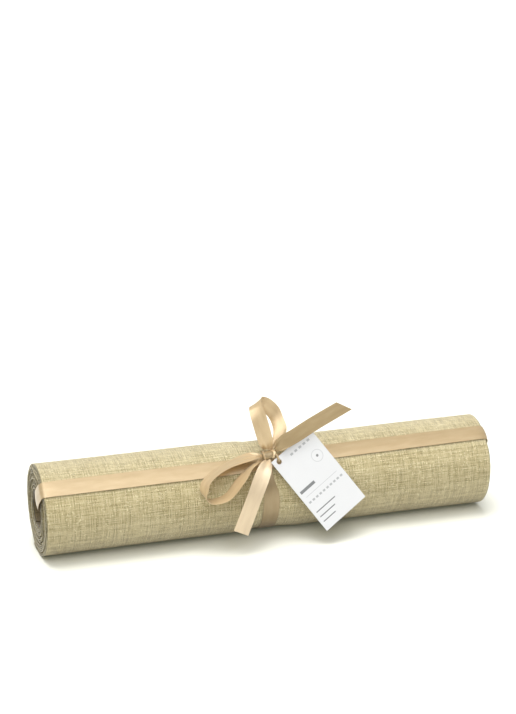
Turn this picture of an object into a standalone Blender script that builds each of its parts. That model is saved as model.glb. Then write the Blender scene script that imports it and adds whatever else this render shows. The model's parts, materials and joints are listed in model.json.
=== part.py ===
# A short roll of linen-look cloth, tied along and around with satin ribbon, with a bow and a hang tag.
# Metres, +Z up. The roll lies along X, its front is -Y, and the origin is on the floor under it.
import math

import bmesh
import bpy
from mathutils import Vector

MM = 0.001

# Rolled cloth
ROLL_LENGTH = 0.300
ROLL_RADIUS = 0.0301
CLOTH_THICKNESS = 0.0008
TURN_GAP = 0.00046
TURNS = 15
OUTER_TURNS = 8
OUTER_STEPS = 24
INNER_STEPS = 16

# Satin ribbon
RIBBON_WIDTH = 0.010
RIBBON_THICKNESS = 0.0003
RIBBON_GAP = 0.0003
GIRTH_X = -0.002
WAIST_REACH = 0.012
LONG_ANGLE_LEFT = 46.0
LONG_ANGLE_RIGHT = 56.0
RIM_ROUND = 0.0015
RIM_STEPS = 4
LONG_RUN_STEPS = 8

# Knot
KNOT_ANGLE = 53.0
KNOT_SIZE = (0.0080, 0.0060, 0.0055)
KNOT_ROUND = 0.0018
BOW_HEIGHT = 0.0045
PIECES_PER_SPAN = 4

# Hang tag
TAG_WIDTH = 0.0345
TAG_LENGTH = 0.057
TAG_THICKNESS = 0.0004
TAG_LEAN = 25.0
TAG_STANDOFF = 0.0012
TAG_TURN = 33.2
TAG_HOLE_RADIUS = 0.00175
TAG_HOLE_TO_END = 0.0030
TAG_HOLE_TO_SIDE = 0.0045
TAG_HOLE_SIDES = 24
TAG_HOLE_RIGHT_OF_KNOT = 0.0022
TAG_HOLE_BELOW_KNOT = 0.00515
CORD_RADIUS = 0.0005
CORD_GAP = 0.0003
CORD_SIDES = 8
CORD_END_STEPS = 6
CORD_KNOT_GAP = 0.0006
CORD_REACH = 0.0038

# Worked out from the sizes above
PITCH = CLOTH_THICKNESS + TURN_GAP
STEP_ANGLE = 360.0 / OUTER_STEPS
FREE_EDGE_ANGLE = 270.0 - 1.5 * STEP_ANGLE
HALF_STEP_COS = math.cos(math.radians(STEP_ANGLE / 2))
AXIS_HEIGHT = (ROLL_RADIUS - PITCH * 2 / OUTER_STEPS) * HALF_STEP_COS
WAIST_DEPTH = (RIBBON_THICKNESS + RIBBON_GAP) / HALF_STEP_COS
HOLLOW_RADIUS = (ROLL_RADIUS - TURNS * PITCH - CLOTH_THICKNESS) * math.cos(math.pi / INNER_STEPS)
SURFACE_RADIUS = ROLL_RADIUS + RIBBON_GAP + RIBBON_THICKNESS / 2
KNOT_RADIUS = SURFACE_RADIUS + RIBBON_THICKNESS / 2 + RIBBON_GAP + KNOT_SIZE[2] / 2
KNOT_UP = KNOT_RADIUS * math.sin(math.radians(KNOT_ANGLE - TAG_LEAN))
TAG_HOLE_X = GIRTH_X + KNOT_SIZE[0] / 2 + TAG_HOLE_RIGHT_OF_KNOT
TAG_HOLE_UP = KNOT_UP - TAG_HOLE_BELOW_KNOT

# Bow pieces. Each row is a cross-section: one edge of the ribbon, then its other edge, in millimetres.
# They start at the knot's left side, lower side, upper side and right side.
# Pieces that hug the roll: along X, up around the roll, and out from its surface.
LEFT_LOOP = (
    ((-0.5, 0.6, 3.6), (-0.6, -1.2, 4.6)),
    ((-7.9, 2.6, 2.9), (-9.2, -3.6, 6.6)),
    ((-20.5, 0.6, 2.5), (-22.8, -6.2, 8.4)),
    ((-32.8, -3.1, 2.5), (-33.8, -9.6, 9.4)),
    ((-41.3, -10.0, 2.5), (-39.4, -13.7, 10.6)),
    ((-44.4, -15.3, 2.5), (-41.3, -16.8, 11.2)),
    ((-42.3, -19.8, 2.5), (-42.8, -21.0, 10.8)),
    ((-37.1, -22.0, 2.2), (-37.6, -23.6, 10.6)),
    ((-28.3, -20.0, 2.0), (-27.2, -22.2, 10.6)),
    ((-20.0, -12.2, 2.2), (-16.6, -14.8, 10.2)),
    ((-9.1, -5.0, 2.8), (-9.2, -8.2, 7.6)),
    ((-0.6, -1.6, 2.0), (-0.8, -2.9, 2.9)),
)
LOWER_TAIL = (
    ((-3.4, -0.1, 4.0), (0.8, -0.3, 4.0)),
    ((-8.2, -3.4, 7.0), (-0.8, -6.3, 7.2)),
    ((-12.6, -8.6, 6.4), (-3.6, -12.2, 6.6)),
    ((-18.5, -18.8, 5.2), (-9.2, -22.4, 5.2)),
    ((-23.8, -31.1, 4.4), (-14.0, -34.8, 5.2)),
    ((-27.1, -38.2, 6.9), (-17.6, -41.4, 9.1)),
)
# Pieces that stand off the roll: along X, along the surface at the knot, and straight out.
UPPER_LOOP = (
    ((-3.0, 0.6, 0.2), (1.6, 0.6, 0.8)),
    ((-5.7, 2.8, 4.6), (1.4, 4.8, 8.2)),
    ((-8.4, 11.6, 12.8), (-0.6, 14.4, 17.4)),
    ((-10.1, 19.4, 16.4), (-2.1, 22.4, 21.3)),
    ((-8.2, 24.8, 15.2), (-0.1, 27.9, 20.2)),
    ((-2.1, 25.0, 11.6), (6.0, 28.1, 16.5)),
    ((3.8, 21.4, 7.8), (11.4, 24.4, 12.2)),
    ((6.2, 16.2, 5.2), (13.6, 18.4, 9.0)),
    ((6.0, 9.4, 4.4), (13.2, 10.4, 6.8)),
    ((2.6, 3.0, 1.6), (7.4, 3.4, 2.6)),
    ((0.4, 0.6, -1.2), (3.0, 0.6, -1.0)),
)
RIGHT_TAIL = (
    ((0.4, 2.9, 1.6), (0.4, 0.6, 0.8)),
    ((4.0, 6.0, 8.8), (5.6, 0.3, 3.9)),
    ((11.6, 8.4, 12.4), (15.6, 2.8, 6.9)),
    ((23.6, 12.6, 18.4), (29.0, 7.0, 12.2)),
    ((41.3, 17.2, 25.6), (50.6, 12.6, 21.6)),
)


def clear_scene():
    for item in list(bpy.data.objects):
        bpy.data.objects.remove(item, do_unlink=True)


def make_material(name, colour, roughness, metallic=0.0):
    material = bpy.data.materials.new(name)
    material.use_nodes = True
    shader = material.node_tree.nodes["Principled BSDF"]
    shader.inputs["Base Color"].default_value = (*colour, 1.0)
    shader.inputs["Roughness"].default_value = roughness
    shader.inputs["Metallic"].default_value = metallic
    return material


def add_solid(name, points, faces, material, origin=Vector((0, 0, 0))):
    mesh = bpy.data.meshes.new(name)
    mesh.from_pydata([point - origin for point in points], [], faces)
    shape = bmesh.new()
    shape.from_mesh(mesh)
    bmesh.ops.recalc_face_normals(shape, faces=shape.faces)
    shape.to_mesh(mesh)
    shape.free()
    mesh.materials.append(material)
    solid = bpy.data.objects.new(name, mesh)
    solid.location = origin
    bpy.context.collection.objects.link(solid)
    return solid


def around(x, angle, radius):
    # A point at an angle up from the roll's front, measured about the roll's axis.
    turn = math.radians(angle)
    return Vector((x, -radius * math.cos(turn), AXIS_HEIGHT + radius * math.sin(turn)))


def on_roll(place):
    # Along X from the knot's middle, up around the roll and out from its surface.
    x, arc, height = (MM * value for value in place)
    angle = KNOT_ANGLE + math.degrees(arc / ROLL_RADIUS)
    return around(GIRTH_X + x, angle, ROLL_RADIUS + height)


def bow_axes():
    outward = around(0, KNOT_ANGLE, 1) - around(0, KNOT_ANGLE, 0)
    along = Vector((1, 0, 0))
    return along, outward.cross(along), outward


def off_roll(place):
    # Along X from the knot, then along the roll's surface there, then straight out of it.
    origin = around(GIRTH_X, KNOT_ANGLE, ROLL_RADIUS + BOW_HEIGHT)
    return origin + sum((axis * MM * value for axis, value in zip(bow_axes(), place)), Vector())


def tag_axes():
    lean = math.radians(TAG_LEAN)
    up = Vector((0, math.sin(lean), math.cos(lean)))
    outward = Vector((0, -math.cos(lean), math.sin(lean)))
    return Vector((1, 0, 0)), up, outward


def on_tag_plane(x, up, out=0.0):
    # The plane that leans on the roll's front. x is the world's X, up is from where it touches.
    along, rise, outward = tag_axes()
    foot = Vector((0, 0, AXIS_HEIGHT)) + outward * (ROLL_RADIUS + TAG_STANDOFF + TAG_THICKNESS / 2)
    return foot + along * x + rise * up + outward * out


def curve_through(places, pieces):
    # A smooth curve through the places, each as a point, with even steps between neighbours.
    ends = [2 * places[0] - places[1], *places, 2 * places[-1] - places[-2]]
    curve = []
    for a, b, c, d in zip(ends, ends[1:], ends[2:], ends[3:]):
        for step in range(pieces):
            t = step / pieces
            curve.append(
                b + 0.5 * t * (c - a + t * (2 * a - 5 * b + 4 * c - d + t * (3 * (b - c) + d - a)))
            )
    curve.append(places[-1])
    return curve


def strip_points(first_edge, second_edge, thickness, closed):
    # Four corners for each cross-section of a thin strip between two edges.
    middles = [(a + b) / 2 for a, b in zip(first_edge, second_edge)]
    last = len(middles) - 1
    points = []
    for i, (a, b) in enumerate(zip(first_edge, second_edge)):
        after = middles[(i + 1) % len(middles)] if closed or i < last else middles[i]
        before = middles[i - 1] if closed or i > 0 else middles[i]
        half = (after - before).cross(b - a).normalized() * thickness / 2
        points += [a - half, b - half, b + half, a + half]
    return points


def tube_faces(rings, sides, closed):
    faces = []
    for i in range(rings if closed else rings - 1):
        here = i * sides
        there = (i + 1) % rings * sides
        for j in range(sides):
            k = (j + 1) % sides
            faces.append((here + j, here + k, there + k, there + j))
    if not closed:
        faces.append(tuple(range(sides)))
        faces.append(tuple((rings - 1) * sides + j for j in range(sides)))
    return faces


def add_strip(name, first_edge, second_edge, material, origin=Vector((0, 0, 0)), closed=False):
    points = strip_points(first_edge, second_edge, RIBBON_THICKNESS, closed)
    return add_solid(name, points, tube_faces(len(first_edge), 4, closed), material, origin)


def add_bow_piece(name, rows, place, side, material):
    # Side is the way from the knot's middle to the side that the piece leaves.
    # The piece turns about the middle of its first cross-section, at the knot.
    start = [size / 2 / MM * way for size, way in zip(KNOT_SIZE, side)]
    placed = [[place([a + b for a, b in zip(start, edge)]) for edge in row] for row in rows]
    first_edge = curve_through([row[0] for row in placed], PIECES_PER_SPAN)
    second_edge = curve_through([row[1] for row in placed], PIECES_PER_SPAN)
    root = (first_edge[0] + second_edge[0]) / 2
    return add_strip(name, first_edge, second_edge, material, root)


def spiral_steps():
    # Turns and angle from the outer free edge to the inner one.
    outer = [step / OUTER_STEPS for step in range(OUTER_TURNS * OUTER_STEPS)]
    inner_count = (TURNS - OUTER_TURNS) * INNER_STEPS
    inner = [OUTER_TURNS + step / INNER_STEPS for step in range(inner_count + 1)]
    return outer + inner


def roll_radius_at(turn):
    # The two corners beside the floor lie level, so the roll rests on a flat face.
    if turn * OUTER_STEPS in (1, 2):
        return AXIS_HEIGHT / HALF_STEP_COS
    return ROLL_RADIUS - PITCH * turn


def roll_stations():
    # Where the cloth dips under the ribbon that goes around it: ends, slopes and the ribbon's bed.
    bed = RIBBON_WIDTH / 2 + RIBBON_GAP
    half = ROLL_LENGTH / 2
    return (
        (-half, 0.0),
        (GIRTH_X - bed - WAIST_REACH, 0.0),
        (GIRTH_X - bed, WAIST_DEPTH),
        (GIRTH_X + bed, WAIST_DEPTH),
        (GIRTH_X + bed + WAIST_REACH, 0.0),
        (half, 0.0),
    )


def cloth_row(turn, depth_in, stations):
    fade = max(0.0, 1 - turn / OUTER_TURNS)
    radius = roll_radius_at(turn) - depth_in
    angle = FREE_EDGE_ANGLE + 360 * turn
    return [around(x, angle, radius - dip * fade) for x, dip in stations]


def add_roll(material):
    full = roll_stations()
    plain = (full[0], full[-1])
    points = []
    rows = []
    for turn in spiral_steps():
        stations = full if turn < OUTER_TURNS else plain
        pair = []
        for depth_in in (0.0, CLOTH_THICKNESS):
            pair.append(list(range(len(points), len(points) + len(stations))))
            points += cloth_row(turn, depth_in, stations)
        rows.append(pair)
    faces = []
    for (outer, inner), (next_outer, next_inner) in zip(rows, rows[1:]):
        for row, next_row in ((outer, next_outer), (inner, next_inner)):
            faces += sheet_faces(row, next_row)
        for end in (0, -1):
            faces.append((outer[end], inner[end], next_inner[end], next_outer[end]))
    for outer, inner in (rows[0], rows[-1]):
        for i in range(len(outer) - 1):
            faces.append((outer[i], outer[i + 1], inner[i + 1], inner[i]))
    return add_solid("fabric_roll", points, faces, material)


def sheet_faces(row, next_row):
    if len(row) == len(next_row):
        return [(row[i], row[i + 1], next_row[i + 1], next_row[i]) for i in range(len(row) - 1)]
    # Where many stations become two, a fan joins them.
    fan = [(next_row[0], row[i], row[i + 1]) for i in range(len(row) - 1)]
    return [*fan, (next_row[0], row[-1], next_row[1])]


def add_girth_ribbon(material):
    # One band around the roll, its outer face level with the cloth beside it.
    half = RIBBON_WIDTH / 2
    points = []
    for step in range(OUTER_STEPS):
        turn = step / OUTER_STEPS
        outer = roll_radius_at(turn)
        inner = outer - RIBBON_THICKNESS / HALF_STEP_COS
        angle = FREE_EDGE_ANGLE + 360 * turn
        points.append(around(GIRTH_X - half, angle, inner))
        points.append(around(GIRTH_X + half, angle, inner))
        points.append(around(GIRTH_X + half, angle, outer))
        points.append(around(GIRTH_X - half, angle, outer))
    return add_solid("girth_ribbon", points, tube_faces(OUTER_STEPS, 4, True), material)


def long_ribbon_path():
    # X and radius along the band: over the cloth, round one rim, back through the hollow, round the other.
    clear = HOLLOW_RADIUS - RIBBON_GAP
    inside = math.sqrt(clear**2 - (RIBBON_WIDTH / 2) ** 2) - RIBBON_THICKNESS / 2
    centre_x = ROLL_LENGTH / 2 + RIBBON_GAP + RIBBON_THICKNESS / 2 - RIM_ROUND
    path = []
    for end, start_radius, stop_radius in ((1, SURFACE_RADIUS, inside), (-1, inside, SURFACE_RADIUS)):
        for radius in (start_radius, stop_radius):
            outer_corner = radius == SURFACE_RADIUS
            centre_radius = radius - RIM_ROUND if outer_corner else radius + RIM_ROUND
            rising = (end == 1) == outer_corner
            for step in range(RIM_STEPS + 1):
                share = step / RIM_STEPS if rising else 1 - step / RIM_STEPS
                turn = math.radians(90 * (1 - share))
                x = end * (centre_x + RIM_ROUND * math.cos(turn))
                lift = RIM_ROUND * math.sin(turn)
                path.append((x, centre_radius + (lift if outer_corner else -lift)))
        run_radius = stop_radius
        for step in range(1, LONG_RUN_STEPS):
            path.append((end * centre_x * (1 - 2 * step / LONG_RUN_STEPS), run_radius))
    return path


def long_ribbon_angle(x):
    share = x / ROLL_LENGTH + 0.5
    return LONG_ANGLE_LEFT + (LONG_ANGLE_RIGHT - LONG_ANGLE_LEFT) * share


def add_long_ribbon(material):
    lower_edge = []
    upper_edge = []
    for x, radius in long_ribbon_path():
        angle = long_ribbon_angle(x)
        middle = around(x, angle, radius)
        across = (around(x, angle + 90, 1) - around(x, angle + 90, 0)) * RIBBON_WIDTH / 2
        lower_edge.append(middle - across)
        upper_edge.append(middle + across)
    return add_strip("long_ribbon", lower_edge, upper_edge, material, closed=True)


def add_knot(material):
    bpy.ops.mesh.primitive_cube_add(size=1)
    knot = bpy.context.object
    knot.name = "knot"
    for corner in knot.data.vertices:
        corner.co = [value * size for value, size in zip(corner.co, KNOT_SIZE)]
    knot.location = around(GIRTH_X, KNOT_ANGLE, KNOT_RADIUS)
    knot.rotation_euler = (math.radians(90 - KNOT_ANGLE), 0, 0)
    rounding = knot.modifiers.new("Rounding", "BEVEL")
    rounding.width = KNOT_ROUND
    rounding.segments = 3
    knot.data.materials.append(material)
    knot.data.shade_smooth()
    return knot


def tag_place(across, down, out=0.0):
    # On the card: across its short side and down its long side from the hole's centre.
    turn = math.radians(TAG_TURN)
    x = TAG_HOLE_X + across * math.cos(turn) + down * math.sin(turn)
    up = TAG_HOLE_UP + across * math.sin(turn) - down * math.cos(turn)
    return on_tag_plane(x, up, out)


def add_tag(material):
    low = (-TAG_HOLE_TO_SIDE, -TAG_HOLE_TO_END)
    high = (TAG_WIDTH - TAG_HOLE_TO_SIDE, TAG_LENGTH - TAG_HOLE_TO_END)
    hole = []
    border = []
    for step in range(TAG_HOLE_SIDES):
        turn = 2 * math.pi * (step + 0.5) / TAG_HOLE_SIDES
        ray = (math.cos(turn), math.sin(turn))
        reach = min(
            (high[i] if ray[i] > 0 else low[i]) / ray[i] for i in range(2)
        )
        hole.append((TAG_HOLE_RADIUS * ray[0], TAG_HOLE_RADIUS * ray[1]))
        border.append((reach * ray[0], reach * ray[1]))
    corners = [(low[0], low[1]), (high[0], low[1]), (high[0], high[1]), (low[0], high[1])]
    return build_card(hole, border, corners, material)


def build_card(hole, border, corners, material):
    # Rays from the hole to the border carry the card, and each corner fills the ray gap it lies in.
    points = []
    for out in (-TAG_THICKNESS / 2, TAG_THICKNESS / 2):
        points += [tag_place(*place, out) for place in (*hole, *border, *corners)]
    sides = len(hole)
    layer = 2 * sides + 4
    angle_of = [math.atan2(place[1], place[0]) % (2 * math.pi) for place in (*border, *corners)]
    faces = []
    for i in range(sides):
        j = (i + 1) % sides
        start, stop = angle_of[i], angle_of[j] + (2 * math.pi if j == 0 else 0)
        between = []
        for k in range(4):
            angle = angle_of[sides + k]
            if start < angle < stop or start < angle + 2 * math.pi < stop:
                between.append(2 * sides + k)
        rim = [sides + i, *between, sides + j]
        for lift in (0, layer):
            faces.append(tuple(lift + n for n in (i, *rim, j)))
        for a, b in zip(rim, rim[1:]):
            faces.append((a, b, b + layer, a + layer))
        faces.append((i, j, j + layer, i + layer))
    return add_solid("tag_card", points, faces, material, tag_place(0, 0))


def cord_ends():
    # The loop's end in the hole and its end beside the knot, on the card's plane.
    half_knot = KNOT_SIZE[0] / 2
    knot_x = GIRTH_X + half_knot + CORD_KNOT_GAP + CORD_RADIUS
    return (TAG_HOLE_X, TAG_HOLE_UP), (knot_x, TAG_HOLE_UP + CORD_REACH)


def add_cord(material):
    (hole_x, hole_up), (knot_x, knot_up) = cord_ends()
    run = Vector((knot_x - hole_x, knot_up - hole_up))
    heading = run.normalized()
    bend = TAG_THICKNESS / 2 + CORD_GAP + CORD_RADIUS
    seat = TAG_HOLE_RADIUS - CORD_RADIUS - CORD_GAP
    start = seat + bend
    stop = run.length
    path = []
    for place, facing in ((start, -1), (stop, 1)):
        for step in range(CORD_END_STEPS + 1):
            turn = math.pi * (step / CORD_END_STEPS - 0.5)
            path.append((place + facing * bend * math.cos(turn), facing * bend * math.sin(turn)))
    across = Vector((-heading.y, heading.x))
    points = []
    for i, (s, out) in enumerate(path):
        after = Vector(path[(i + 1) % len(path)])
        ahead = (after - Vector(path[i - 1])).normalized()
        side_s, side_out = -ahead.y, ahead.x
        for k in range(CORD_SIDES):
            turn = 2 * math.pi * k / CORD_SIDES
            near = CORD_RADIUS * math.cos(turn)
            wide = CORD_RADIUS * math.sin(turn)
            flat = heading * (s + near * side_s) + across * wide
            points.append(on_tag_plane(hole_x + flat.x, hole_up + flat.y, out + near * side_out))
    origin = on_tag_plane(knot_x, knot_up)
    return add_solid("tag_cord", points, tube_faces(len(path), CORD_SIDES, True), material, origin)


def build():
    clear_scene()
    linen = make_material("linen", (0.56, 0.48, 0.30), 0.85)
    satin = make_material("satin", (0.67, 0.50, 0.31), 0.35)
    card = make_material("card", (0.94, 0.95, 0.96), 0.6)
    add_roll(linen)
    add_long_ribbon(satin)
    add_girth_ribbon(satin)
    add_knot(satin)
    add_bow_piece("upper_loop", UPPER_LOOP, off_roll, (0, 1, 0), satin)
    add_bow_piece("left_loop", LEFT_LOOP, on_roll, (-1, 0, 0), satin)
    add_bow_piece("lower_tail", LOWER_TAIL, on_roll, (0, -1, 0), satin)
    add_bow_piece("right_tail", RIGHT_TAIL, off_roll, (1, 0, 0), satin)
    add_tag(card)
    add_cord(satin)


build()
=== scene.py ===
import json
import math
import random

import bpy
import numpy as np
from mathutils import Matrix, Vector


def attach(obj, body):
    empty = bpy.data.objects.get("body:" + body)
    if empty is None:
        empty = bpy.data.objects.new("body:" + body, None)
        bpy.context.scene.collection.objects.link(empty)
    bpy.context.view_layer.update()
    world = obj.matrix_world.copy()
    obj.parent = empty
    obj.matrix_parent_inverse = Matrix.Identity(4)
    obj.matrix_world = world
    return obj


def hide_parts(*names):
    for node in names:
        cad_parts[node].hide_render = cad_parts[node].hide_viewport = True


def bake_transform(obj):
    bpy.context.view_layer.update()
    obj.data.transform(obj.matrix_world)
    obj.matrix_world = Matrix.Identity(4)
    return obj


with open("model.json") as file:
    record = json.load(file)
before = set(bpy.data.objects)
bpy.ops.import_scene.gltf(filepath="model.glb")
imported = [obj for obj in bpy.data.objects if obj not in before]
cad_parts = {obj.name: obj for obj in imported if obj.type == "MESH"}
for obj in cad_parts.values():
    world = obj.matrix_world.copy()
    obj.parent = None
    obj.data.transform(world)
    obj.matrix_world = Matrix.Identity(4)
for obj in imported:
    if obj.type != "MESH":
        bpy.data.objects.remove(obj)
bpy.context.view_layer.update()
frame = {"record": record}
print("frame loaded")

mm = 0.001
joints = {joint["name"]: joint for joint in frame["record"]["behaviour"]["joints"]}


# places on the roll

roll = {
    "radius": 0.0300,
    "axisHeight": 0.02974,
    "knotAngle": 53.0,      # up from the front
    "girthX": -0.002,
    "bowLift": 0.0045,      # the loops start this far above the cloth
    "rimRadius": 0.0301,
}


def around(x, angle, radius):
    turn = np.radians(angle)
    x, turn, radius = np.broadcast_arrays(x, turn, radius)
    return np.stack([x, -radius * np.cos(turn), roll["axisHeight"] + radius * np.sin(turn)], -1)


def outwardAt(angle):
    return around(0, angle, 1.0) - around(0, angle, 0.0)


def onRoll(x, arc, lift):
    # along the roll from the knot, up around it, and out from the cloth, all in mm
    angle = roll["knotAngle"] + math.degrees(arc * mm / roll["rimRadius"])
    return around(roll["girthX"] + x * mm, angle, roll["rimRadius"] + lift * mm)


def offRoll(x, along, out):
    # the same directions, but straight ones that start at the knot, in mm
    turn = math.radians(roll["knotAngle"])
    outward = np.array([0.0, -math.cos(turn), math.sin(turn)])
    upward = np.array([0.0, math.sin(turn), math.cos(turn)])
    start = around(roll["girthX"], roll["knotAngle"], roll["rimRadius"] + roll["bowLift"])
    return start + np.array([x * mm, 0, 0]) + upward * along * mm + outward * out * mm


def ripple(seed, *inputs, count=5):
    # smooth repeatable unevenness between about -1 and 1
    dice = random.Random(seed)
    total = 0.0
    for step in range(count):
        phase = dice.uniform(0, 6.28)
        for value in inputs:
            phase = phase + value * dice.uniform(0.5, 1.6) * dice.choice((-1, 1))
        total = total + np.sin(phase)
    return total / count ** 0.5 / 1.2


# meshes

def addMesh(name, points, faces, uvs, material, sharpAngle=40):
    mesh = bpy.data.meshes.new(name)
    mesh.from_pydata([tuple(p) for p in points], [], faces)
    layer = mesh.uv_layers.new(name="cloth")
    corners = np.empty(len(mesh.loops), np.int32)
    mesh.loops.foreach_get("vertex_index", corners)
    layer.data.foreach_set("uv", np.asarray(uvs, np.float32)[corners].ravel())
    mesh.materials.append(material)
    mesh.shade_smooth()
    mesh.set_sharp_from_angle(angle=math.radians(sharpAngle))
    mesh.validate()
    piece = bpy.data.objects.new(name, mesh)
    bpy.context.scene.collection.objects.link(piece)
    return piece


def smoothPath(points, pieces):
    # a curve through the points
    points = np.asarray(points, float)
    ends = np.vstack([2 * points[:1] - points[1:2], points, 2 * points[-1:] - points[-2:-1]])
    curve = []
    for a, b, c, d in zip(ends, ends[1:], ends[2:], ends[3:]):
        for step in range(pieces):
            t = step / pieces
            curve.append(b + 0.5 * t * (c - a + t * (2 * a - 5 * b + 4 * c - d + t * (3 * (b - c) + d - a))))
    curve.append(points[-1])
    return np.array(curve)


def unit(v):
    return v / np.maximum(np.linalg.norm(v, axis=-1, keepdims=True), 1e-12)


def gridFaces(rows, columns, start, closed=False, flip=False):
    faces = []
    for i in range(rows if closed else rows - 1):
        for j in range(columns - 1):
            a = start + i * columns + j
            b = start + (i + 1) % rows * columns + j
            face = (a, a + 1, b + 1, b)
            faces.append(face[::-1] if flip else face)
    return faces


ribbonThickness = 0.00028
mapWidth = 10.0             # how wide every ribbon is in its own map, in mm
calmReach = 0.008           # a ribbon's sway starts this far from its ends
swayPitch = 0.006


def addRibbon(name, edgeA, edgeB, look, material, closed=False):
    # a strip of ribbon between two edges, with a crown across it and gathers at its ends
    edgeA, edgeB = np.asarray(edgeA), np.asarray(edgeB)
    rows, columns = len(edgeA), look["across"] + 1
    share = np.linspace(0, 1, columns)
    middle = (edgeA + edgeB) / 2
    if closed:
        ahead = np.roll(middle, -1, 0) - np.roll(middle, 1, 0)
    else:
        ahead = np.gradient(middle, axis=0)
    facing = unit(np.cross(ahead, edgeB - edgeA))
    steps = np.linalg.norm(np.diff(middle, axis=0), axis=1)
    far = np.concatenate([[0], np.cumsum(steps)])
    length = far[-1]
    lift = look.get("crown", 0) * (1 - (2 * share - 1) ** 2)[None, :] * np.ones((rows, 1))
    for end, depth, reach, count, phase in look.get("gathers", ()):
        near = far if end == 0 else length - far
        hold = np.exp(-(near / reach) ** 2)[:, None]
        lift = lift + depth * hold * np.sin(2 * math.pi * count * share + phase)[None, :]
    sway = look.get("sway", 0)
    if sway:
        calm = np.clip(np.minimum(far, length - far) / calmReach, 0, 1)[:, None]
        wave = ripple(look["seed"], far[:, None] / swayPitch, share[None, :] * 1.3, count=4)
        lift = lift + sway * wave * calm
    sheet = edgeA[:, None] + (edgeB - edgeA)[:, None] * share[None, :, None] + facing[:, None] * lift[..., None]
    shell = facing[:, None] * (ribbonThickness / 2)
    points = np.concatenate([(sheet + shell).reshape(-1, 3), (sheet - shell).reshape(-1, 3)])
    size = rows * columns
    faces = gridFaces(rows, columns, 0, closed, True) + gridFaces(rows, columns, size, closed)
    for i in range(rows if closed else rows - 1):
        for j, flip in ((0, True), (columns - 1, False)):
            a, b = i * columns + j, (i + 1) % rows * columns + j
            face = (a, b, b + size, a + size)
            faces.append(face[::-1] if flip else face)
    if not closed:
        for i, flip in ((0, False), (rows - 1, True)):
            for j in range(columns - 1):
                a = i * columns + j
                face = (a, a + 1, a + 1 + size, a + size)
                faces.append(face[::-1] if flip else face)
    place = np.stack(np.broadcast_arrays(share[None, :] * mapWidth, far[:, None] * 1000), -1).reshape(-1, 2)
    return addMesh(name, points, faces, np.concatenate([place, place]), material), length


def addTube(name, path, radius, material, sides=8, closed=False):
    # a round strand along a path; the radius may change along it
    path = np.asarray(path, float)
    rows = len(path)
    radius = np.broadcast_to(radius, rows)
    ahead = unit(np.roll(path, -1, 0) - np.roll(path, 1, 0)) if closed else unit(np.gradient(path, axis=0))
    side = unit(np.cross(ahead[0], (0.3, 0.2, 0.93)))
    points = []
    for place, way, size in zip(path, ahead, radius):
        side = unit(side - way * np.dot(side, way))
        other = np.cross(way, side)
        for k in range(sides):
            turn = 2 * math.pi * k / sides
            points.append(place + size * (math.cos(turn) * side + math.sin(turn) * other))
    faces = []
    for i in range(rows if closed else rows - 1):
        for k in range(sides):
            a, b = i * sides, (i + 1) % rows * sides
            faces.append((a + k, a + (k + 1) % sides, b + (k + 1) % sides, b + k))
    if not closed:
        faces.append(tuple(range(sides))[::-1])
        faces.append(tuple((rows - 1) * sides + k for k in range(sides)))
    far = np.concatenate([[0], np.cumsum(np.linalg.norm(np.diff(path, axis=0), axis=1))]) * 1000
    uvs = [(k * 0.4, far[i]) for i in range(rows) for k in range(sides)]
    return addMesh(name, points, faces, uvs, material, 70)


# node helpers

def addNode(tree, kind, inputs=(), **settings):
    node = tree.nodes.new(kind)
    for key, value in settings.items():
        setattr(node, key, value)
    for key, value in dict(inputs).items():
        if isinstance(value, bpy.types.NodeSocket):
            tree.links.new(value, node.inputs[key])
        else:
            node.inputs[key].default_value = value
    return node


def maths(tree, operation, *values, clamp=False):
    return addNode(tree, "ShaderNodeMath", dict(enumerate(values)), operation=operation, use_clamp=clamp).outputs[0]


def noiseAt(tree, place, scale, detail):
    inputs = {"Vector": place, "Scale": scale, "Detail": detail}
    return addNode(tree, "ShaderNodeTexNoise", inputs).outputs["Fac"]


def stretchAt(tree, x, y, scaleX, scaleY, detail=2.0):
    # noise drawn out along one direction
    place = addNode(tree, "ShaderNodeCombineXYZ", {
        "X": maths(tree, "MULTIPLY", x, scaleX),
        "Y": maths(tree, "MULTIPLY", y, scaleY),
    }).outputs[0]
    return noiseAt(tree, place, 1.0, detail)


def randomAt(tree, value):
    return addNode(tree, "ShaderNodeTexWhiteNoise", {"W": value}, noise_dimensions="1D").outputs["Value"]


def makeGroup(name, inputs, outputs):
    group = bpy.data.node_groups.new(name, "ShaderNodeTree")
    for label, kind, value in inputs:
        socket = group.interface.new_socket(label, in_out="INPUT", socket_type=kind)
        if value is not None:
            socket.default_value = value
    for label, kind in outputs:
        group.interface.new_socket(label, in_out="OUTPUT", socket_type=kind)
    entry = group.nodes.new("NodeGroupInput")
    leave = group.nodes.new("NodeGroupOutput")
    return group, entry, leave


def newMaterial(name):
    material = bpy.data.materials.new(name)
    material.use_nodes = True
    return material, material.node_tree, material.node_tree.nodes["Principled BSDF"]


def useGroup(tree, group, **inputs):
    return addNode(tree, "ShaderNodeGroup", inputs, node_tree=group)


def mixColours(tree, share, a, b, blend="MIX"):
    # sockets 0, 6 and 7 are the share and the two colours, output 2 is the colour
    inputs = {0: share, 6: a, 7: b}
    return addNode(tree, "ShaderNodeMix", inputs, data_type="RGBA", blend_type=blend).outputs[2]


def rangeAt(tree, value, start=(0.0, 1.0), end=(0.0, 1.0)):
    # the value carried from one range to another
    names = ("From Min", "From Max", "To Min", "To Max")
    return addNode(tree, "ShaderNodeMapRange", {"Value": value, **dict(zip(names, (*start, *end)))}).outputs[0]


def addBump(tree, shader, height, distance, strength):
    bump = addNode(tree, "ShaderNodeBump", {"Height": height, "Distance": distance, "Strength": strength})
    tree.links.new(bump.outputs[0], shader.inputs["Normal"])


# linen-look cloth

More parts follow.
